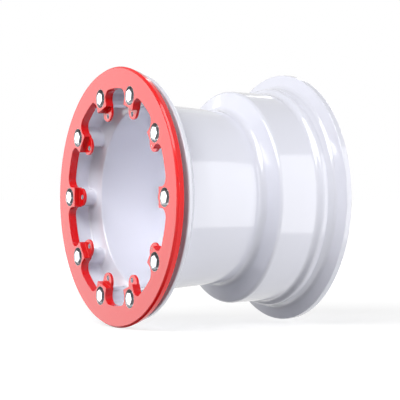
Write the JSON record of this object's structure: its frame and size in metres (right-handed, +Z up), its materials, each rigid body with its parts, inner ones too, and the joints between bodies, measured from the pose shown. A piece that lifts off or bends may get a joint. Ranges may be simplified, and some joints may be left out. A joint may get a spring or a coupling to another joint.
{
  "type": "beadlock wheel",
  "caption": "White drop-centre wheel barrel with a bolted red clamping ring that holds the outboard tyre bead, for an all-terrain vehicle.",
  "frame": {"origin": "centre of the hub mounting face, on the wheel's axis", "axes": "+Y along the wheel's axis, inboard from the clamping ring to the inner flange; +Z up; +X to the right when looking at the ring from outboard"},
  "size_m": [0.3, 0.2299, 0.3],
  "materials": {
    "white_powder_coat": "glossy white powder coat on cast aluminium",
    "red_anodise": "glossy red coat on machined aluminium",
    "zinc_steel": "bright zinc",
    "insert_steel": "plain turned steel",
    "valve_rubber": "smooth moulded rubber",
    "brass": "turned brass",
    "black_plastic": "moulded black plastic"
  },
  "bodies": {
    "root": {"rim_barrel": "white_powder_coat", "beadlock_ring": "red_anodise", "valve_body": "valve_rubber", "valve_tube": "brass", "valve_core": "brass", "valve_cap": "black_plastic", "ring_bolt_01": "zinc_steel", "ring_bolt_02": "zinc_steel", "ring_bolt_03": "zinc_steel", "ring_bolt_04": "zinc_steel", "ring_bolt_05": "zinc_steel", "ring_bolt_06": "zinc_steel", "ring_bolt_07": "zinc_steel", "ring_bolt_08": "zinc_steel", "ring_bolt_09": "zinc_steel", "ring_bolt_10": "zinc_steel", "thread_insert_01": "insert_steel", "thread_insert_02": "insert_steel", "thread_insert_03": "insert_steel", "thread_insert_04": "insert_steel", "thread_insert_05": "insert_steel", "thread_insert_06": "insert_steel", "thread_insert_07": "insert_steel", "thread_insert_08": "insert_steel", "thread_insert_09": "insert_steel", "thread_insert_10": "insert_steel"}
  },
  "joints": []
}
